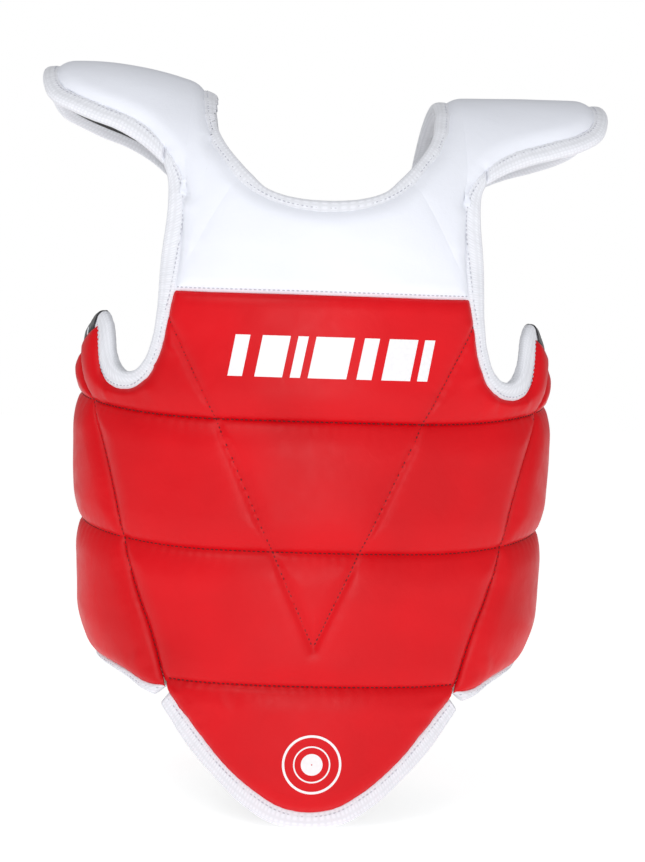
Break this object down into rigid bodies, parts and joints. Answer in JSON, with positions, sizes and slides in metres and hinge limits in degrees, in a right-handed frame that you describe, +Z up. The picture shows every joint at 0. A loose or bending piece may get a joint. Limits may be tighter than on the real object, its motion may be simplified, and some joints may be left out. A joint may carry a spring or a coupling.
{
  "type": "chest protector",
  "caption": "Padded sparring chest protector with a quilted front, folding side wings, a groin flap, shoulder caps, crossed elastic back straps and hook-and-loop belts",
  "frame": {"origin": "On the midline in the middle of the torso space, level with the upper quilt seam", "axes": "+Z up, the front faces -Y, +X is the wearer's left"},
  "size_m": [0.4858, 0.255, 0.6393],
  "materials": {
    "red_vinyl": "semi-gloss coated vinyl over foam, quilted",
    "white_vinyl": "semi-gloss coated vinyl",
    "binding_tape": "woven binding tape, folded over the edge",
    "foam": "closed-cell foam sheet",
    "lining": "dark woven nylon lining",
    "elastic": "woven elastic webbing",
    "loop_pile": "loop pile fastener"
  },
  "bodies": {
    "chest": {"chest_cover_upper": "red_vinyl", "chest_cover_lower": "red_vinyl", "side_cover_left": "red_vinyl", "side_cover_right": "red_vinyl", "chest_foam_upper": "foam", "chest_foam_middle": "foam", "chest_foam_lower": "foam", "yoke_foam": "foam", "side_foam_left": "foam", "side_foam_right": "foam", "shoulder_foam_left": "foam", "shoulder_foam_right": "foam", "chest_lining_upper": "lining", "chest_lining_lower": "lining", "yoke_lining": "lining", "side_lining_left": "lining", "side_lining_right": "lining", "shoulder_lining_left": "lining", "shoulder_lining_right": "lining", "yoke_cover": "white_vinyl", "shoulder_cover_left": "white_vinyl", "shoulder_cover_right": "white_vinyl", "shoulder_tab_left": "white_vinyl", "shoulder_tab_right": "white_vinyl", "cross_patch": "white_vinyl", "neck_binding": "binding_tape", "armhole_binding_left": "binding_tape", "armhole_binding_right": "binding_tape", "cross_strap_left": "elastic", "cross_strap_right": "elastic"},
    "left_wing": {"wing_cover_left": "red_vinyl", "wing_foam_upper_left": "foam", "wing_foam_middle_left": "foam", "wing_foam_lower_left": "foam", "wing_lining_left": "lining", "wing_binding_left": "binding_tape", "loop_patch_upper": "loop_pile", "loop_patch_lower": "loop_pile"},
    "right_wing": {"wing_cover_right": "red_vinyl", "wing_foam_upper_right": "foam", "wing_foam_middle_right": "foam", "wing_foam_lower_right": "foam", "wing_lining_right": "lining", "wing_binding_right": "binding_tape", "belt_end_upper": "elastic", "belt_end_lower": "elastic"},
    "flap": {"flap_cover": "red_vinyl", "flap_foam": "foam", "flap_lining": "lining", "flap_binding": "binding_tape"},
    "left_cap": {"cap_foam_left": "foam", "cap_lining_left": "lining", "cap_cover_left": "white_vinyl", "cap_binding_left": "binding_tape"},
    "right_cap": {"cap_foam_right": "foam", "cap_lining_right": "lining", "cap_cover_right": "white_vinyl", "cap_binding_right": "binding_tape"},
    "upper_belt": {"belt_upper": "elastic"},
    "lower_belt": {"belt_lower": "elastic"}
  },
  "joints": [
    {"name": "left_wing_open", "type": "hinge", "parent": "chest", "child": "left_wing", "pos_m": [0.1633, -0.07649, -0.10716], "axis": [-0.286, -0.2, -0.9371], "range_deg": [0, 60], "stiffness_Nm_per_rad": 1.5},
    {"name": "right_wing_open", "type": "hinge", "parent": "chest", "child": "right_wing", "pos_m": [-0.1633, -0.07649, -0.10716], "axis": [-0.286, 0.2, 0.9371], "range_deg": [0, 60], "stiffness_Nm_per_rad": 1.5},
    {"name": "flap_fold", "type": "hinge", "parent": "chest", "child": "flap", "pos_m": [0, -0.12044, -0.22], "axis": [-1, 0, 0], "range_deg": [-6, 45], "stiffness_Nm_per_rad": 0.6},
    {"name": "left_cap_lift", "type": "hinge", "parent": "chest", "child": "left_cap", "pos_m": [0.135, 0, 0.28314], "axis": [0, -1, 0], "range_deg": [0, 30], "stiffness_Nm_per_rad": 0.5},
    {"name": "right_cap_lift", "type": "hinge", "parent": "chest", "child": "right_cap", "pos_m": [-0.135, 0, 0.29448], "axis": [0, 1, 0], "range_deg": [0, 30], "stiffness_Nm_per_rad": 0.5},
    {"name": "upper_belt_peel", "type": "hinge", "parent": "right_wing", "child": "upper_belt", "pos_m": [-0.10242, 0.11446, -0.03152], "axis": [0, 0, 1], "range_deg": [0, 120]},
    {"name": "lower_belt_peel", "type": "hinge", "parent": "right_wing", "child": "lower_belt", "pos_m": [-0.09962, 0.11173, -0.14172], "axis": [0, 0, 1], "range_deg": [0, 120]}
  ],
  "couplings": [
    {"joint": "upper_belt_peel", "follows": "left_wing_open", "ratio": 2},
    {"joint": "lower_belt_peel", "follows": "left_wing_open", "ratio": 2}
  ]
}
